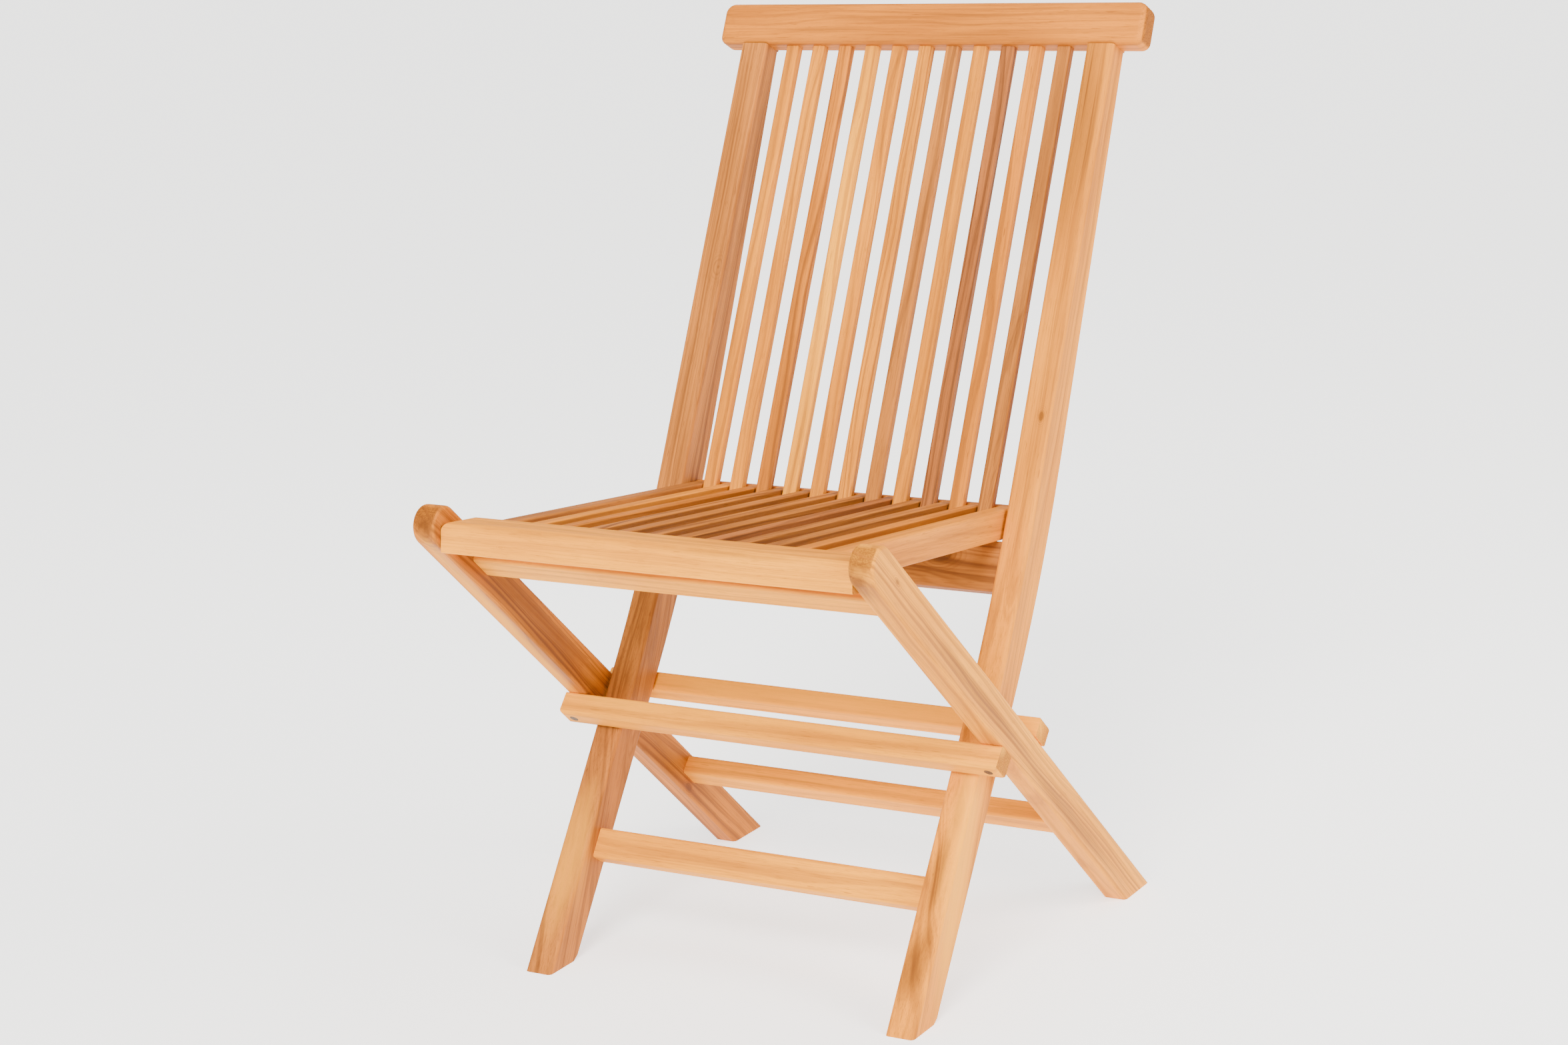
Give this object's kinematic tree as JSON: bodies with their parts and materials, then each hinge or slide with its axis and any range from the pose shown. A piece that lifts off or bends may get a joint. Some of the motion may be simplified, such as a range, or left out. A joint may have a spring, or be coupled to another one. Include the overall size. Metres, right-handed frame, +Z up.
{
  "type": "folding chair",
  "caption": "Slatted hardwood folding chair: bent stiles with a slatted back, crossed short legs, and a slatted seat that swings up between the back slats.",
  "frame": {"origin": "centre of the chair's footprint box, on the floor", "axes": "+X across the chair to the sitter's left, +Y from the front edge of the seat to the back, +Z up"},
  "size_m": [0.486, 0.6335, 0.897],
  "materials": {
    "teak_pale": "sanded, lightly oiled hardwood with straight grain",
    "teak_gold": "sanded, lightly oiled hardwood with straight grain",
    "teak_amber": "sanded, lightly oiled hardwood with straight grain",
    "teak_brown": "sanded, lightly oiled hardwood with straight grain",
    "teak_red": "sanded, lightly oiled hardwood with straight grain",
    "steel": "plain zinc-coated pins, spacers and screws"
  },
  "bodies": {
    "back_frame": {"stile_left": "teak_brown", "stile_right": "teak_gold", "crest_rail": "teak_amber", "lower_back_rail": "teak_brown", "front_stretcher": "teak_pale", "back_slat_01": "teak_pale", "back_slat_02": "teak_gold", "back_slat_03": "teak_amber", "back_slat_04": "teak_pale", "back_slat_05": "teak_gold", "back_slat_06": "teak_gold", "back_slat_07": "teak_red", "back_slat_08": "teak_gold", "back_slat_09": "teak_red", "back_slat_10": "teak_amber", "back_slat_11": "teak_brown", "cross_pin_left": "steel", "cross_pin_right": "steel", "spacer_washer_left": "steel", "spacer_washer_right": "steel"},
    "leg_frame": {"short_leg_left": "teak_amber", "short_leg_right": "teak_amber", "front_cross_rail": "teak_pale", "rear_cross_rail": "teak_pale", "rear_stretcher": "teak_pale", "upper_stretcher": "teak_gold", "seat_pin_left": "steel", "seat_pin_right": "steel", "front_screw_left": "steel", "front_screw_right": "steel", "rear_screw_left": "steel", "rear_screw_right": "steel"},
    "seat": {"seat_front_rail": "teak_gold", "seat_rear_rail": "teak_amber", "seat_side_rail_left": "teak_brown", "seat_side_rail_right": "teak_gold", "seat_slat_01": "teak_brown", "seat_slat_02": "teak_gold", "seat_slat_03": "teak_brown", "seat_slat_04": "teak_pale", "seat_slat_05": "teak_brown", "seat_slat_06": "teak_gold", "seat_slat_07": "teak_amber", "seat_slat_08": "teak_gold", "seat_slat_09": "teak_pale", "seat_slat_10": "teak_gold"}
  },
  "joints": [
    {"name": "legs_fold", "type": "hinge", "parent": "back_frame", "child": "leg_frame", "pos_m": [0, -0.03648, 0.22829], "axis": [-1, 0, 0], "range_deg": [0, 66]},
    {"name": "seat_fold", "type": "hinge", "parent": "leg_frame", "child": "seat", "pos_m": [0, -0.28541, 0.45306], "axis": [1, 0, 0], "range_deg": [0, 120.8]}
  ],
  "couplings": [
    {"joint": "seat_fold", "follows": "legs_fold", "ratio": 1.83}
  ]
}
